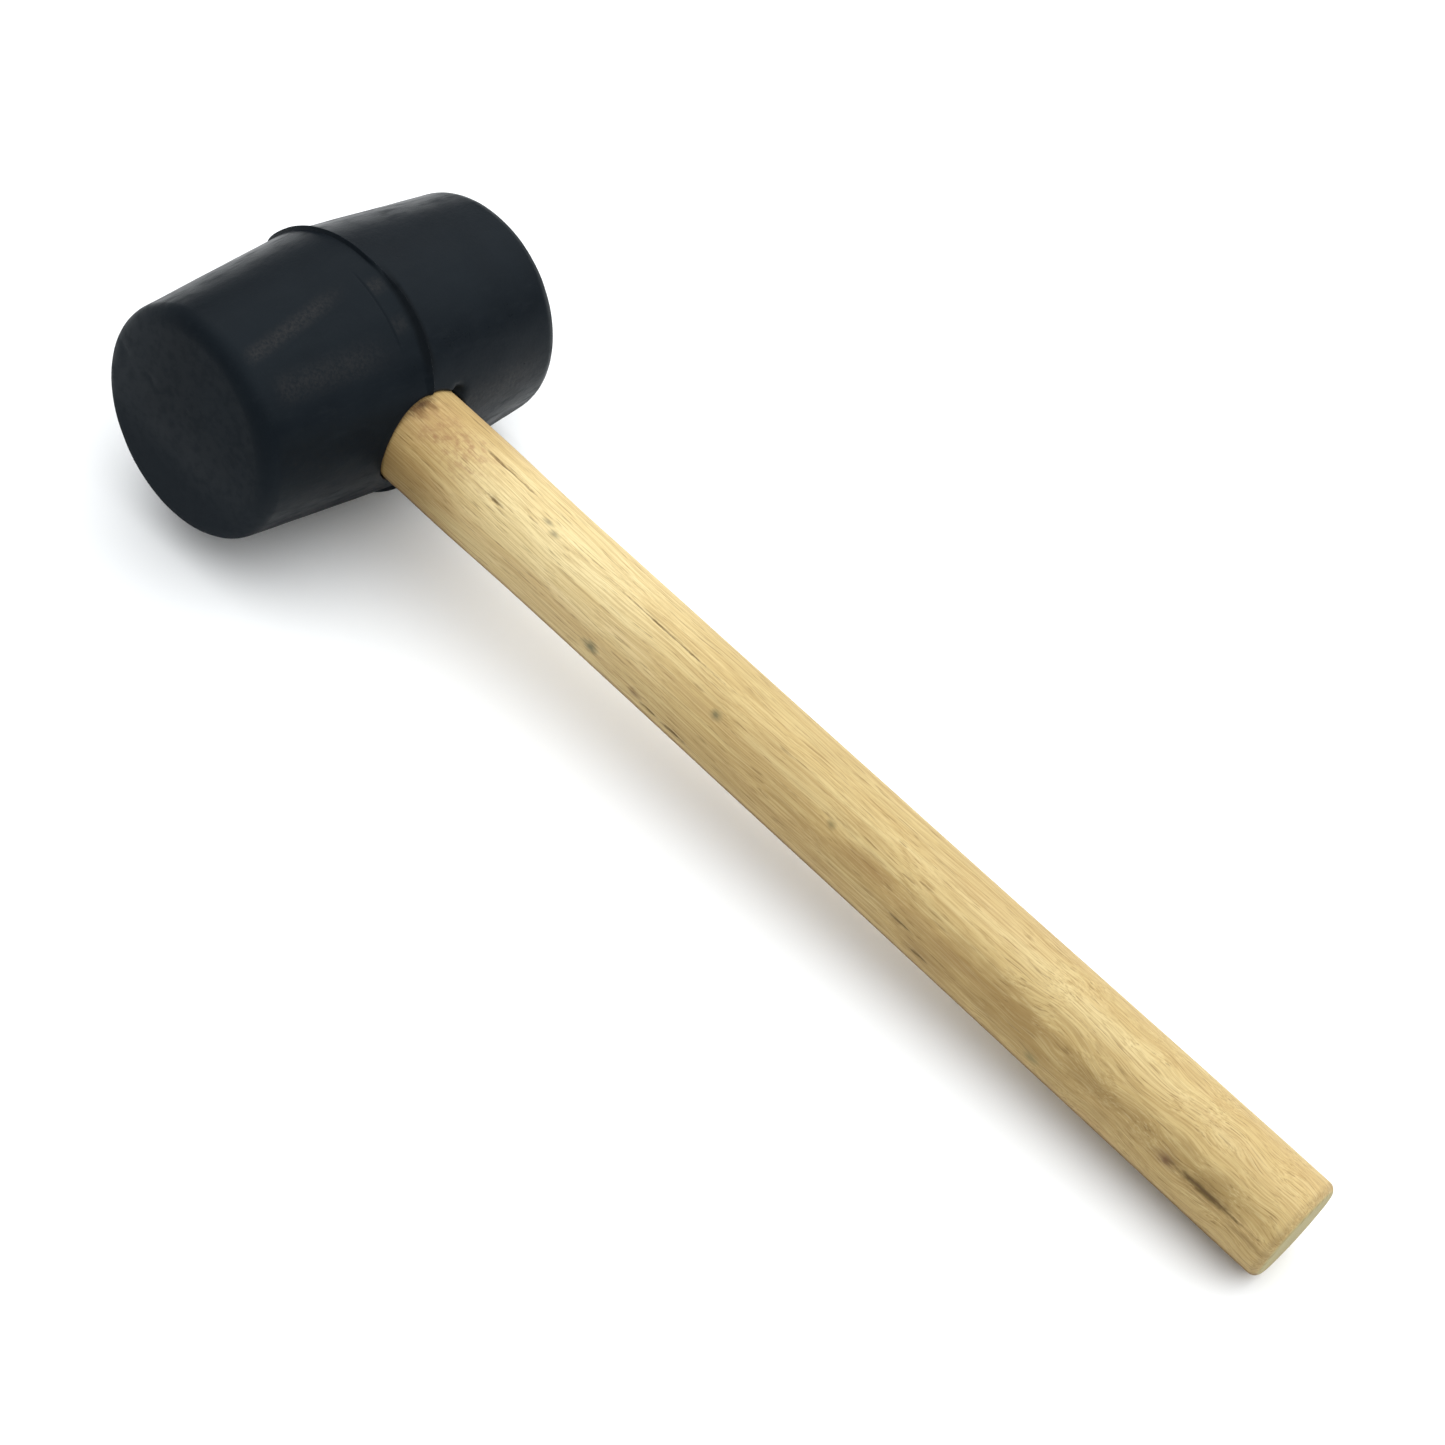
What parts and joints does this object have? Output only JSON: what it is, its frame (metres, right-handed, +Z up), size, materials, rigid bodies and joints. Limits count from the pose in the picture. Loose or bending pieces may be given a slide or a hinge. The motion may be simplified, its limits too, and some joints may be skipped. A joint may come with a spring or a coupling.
{
  "type": "rubber mallet",
  "caption": "Mallet with a black moulded rubber head, a double-tapered barrel with flat striking faces, on a straight round wooden handle wedged into its eye.",
  "frame": {"origin": "middle of the underside of the tool's box, on the surface that it lies on", "axes": "+X along the handle from the head towards the butt, seen from above; Y along the head, with the near striking face towards -Y; +Z up. The tool lies on its parting bead, one edge of its head and the butt's lower edge, so the handle falls 4 degrees towards the butt and the head is tipped 6 degrees, with its -Y face turned up"},
  "size_m": [0.3318, 0.0996, 0.0666],
  "materials": {
    "black_rubber": "matte moulded rubber with a parting bead and light scuffs",
    "handle_wood": "unfinished pale hardwood, sanded, fine lengthwise grain",
    "wedge_wood": "unfinished hardwood, cut flush",
    "wedge_steel": "plain pressed steel, slightly dull"
  },
  "bodies": {
    "root": {"rubber_head": "black_rubber", "handle": "handle_wood", "wood_wedge": "wedge_wood", "steel_wedge": "wedge_steel"}
  },
  "joints": []
}
